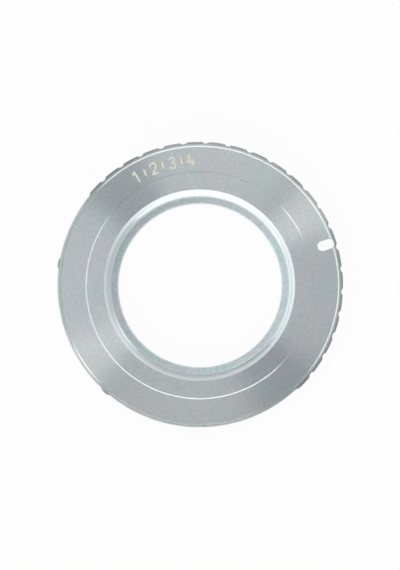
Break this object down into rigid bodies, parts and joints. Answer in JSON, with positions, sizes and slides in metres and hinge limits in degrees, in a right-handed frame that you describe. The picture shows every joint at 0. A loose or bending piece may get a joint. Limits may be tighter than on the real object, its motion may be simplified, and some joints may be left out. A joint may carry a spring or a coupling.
{
  "type": "lens mount adapter ring",
  "caption": "Flat turned metal ring with a threaded bore for a screw-mount lens on one side and a lugged bayonet for a camera on the other.",
  "frame": {"origin": "where the ring's axis crosses the face that seats on the camera, inside the threaded bore", "axes": "+Z along the optical axis towards the lens, +X through the lock-pin slot"},
  "size_m": [0.0647, 0.0647, 0.0059],
  "materials": {
    "turned_metal": "satin turned metal with fine circular tool marks"
  },
  "bodies": {
    "root": {"adapter_ring": "turned_metal"}
  },
  "joints": []
}
